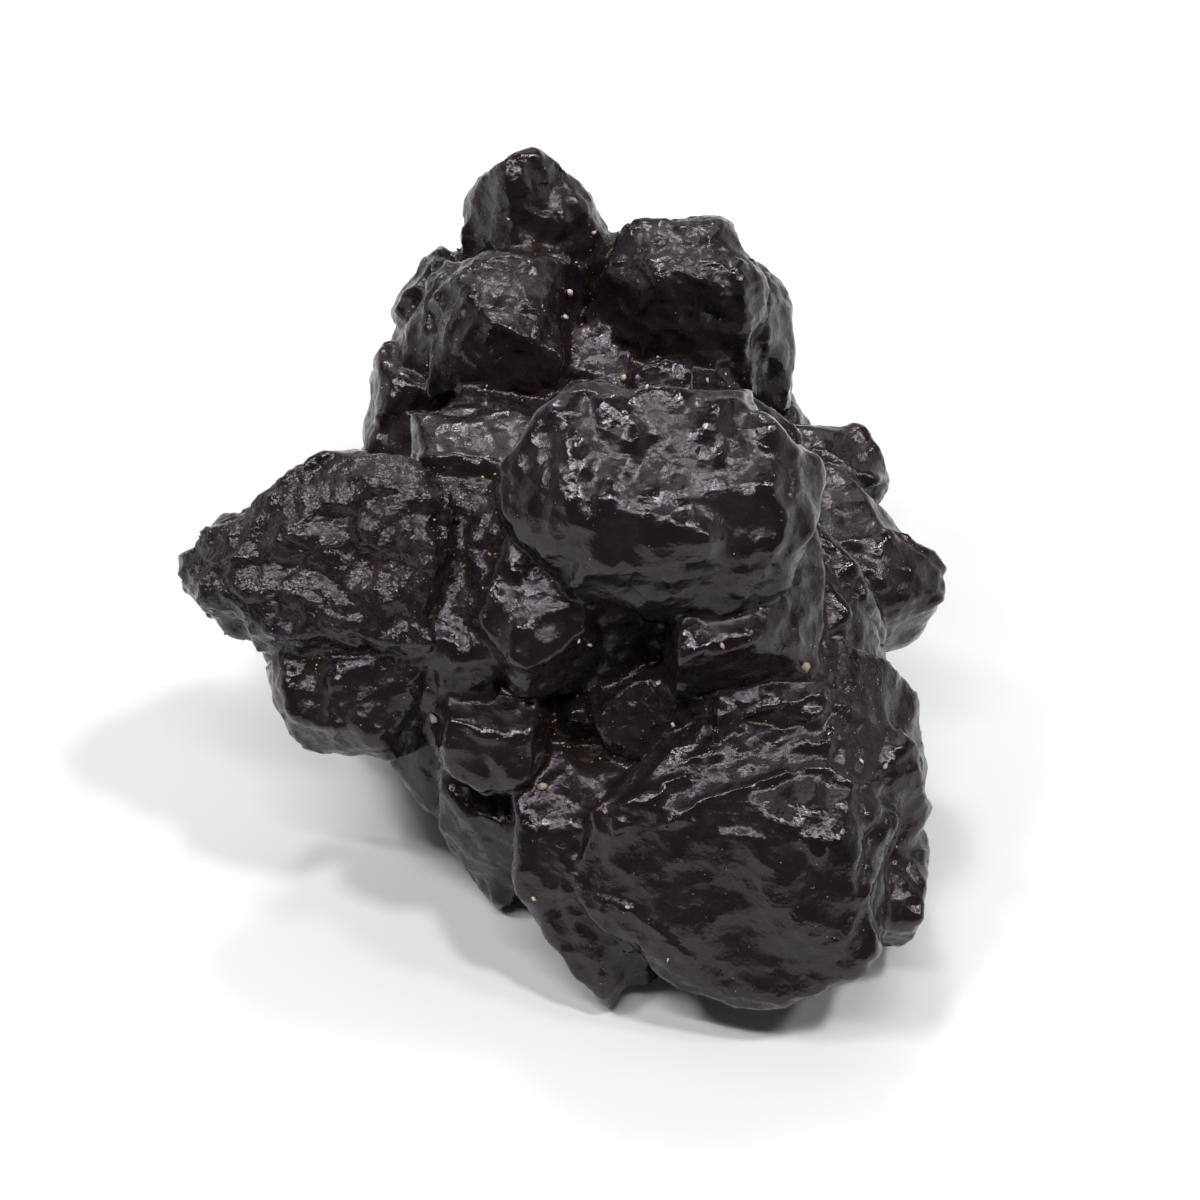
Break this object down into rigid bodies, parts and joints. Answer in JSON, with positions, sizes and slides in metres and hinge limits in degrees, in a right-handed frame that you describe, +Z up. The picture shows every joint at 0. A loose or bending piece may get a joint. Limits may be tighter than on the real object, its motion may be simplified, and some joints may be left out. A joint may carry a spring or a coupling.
{
  "type": "goethite pseudomorph",
  "caption": "Free-standing dark brown-black mineral specimen: a cluster of blocky and spear-shaped goethite crystals, with stepped and hammered faces, on small worn flats.",
  "frame": {"origin": "centre of the bounding box, on the surface that the cluster stands on", "axes": "+Z up as it stands in the picture; -Y is the front, with the large blocks; the long spear-shaped crystal points to -X"},
  "size_m": [0.04, 0.0424, 0.0292],
  "materials": {
    "goethite": "glossy to satin brown-black stone with hammered, stepped crystal faces and pale sand grains in the seams"
  },
  "bodies": {
    "root": {"crystal_cluster": "goethite"}
  },
  "joints": []
}
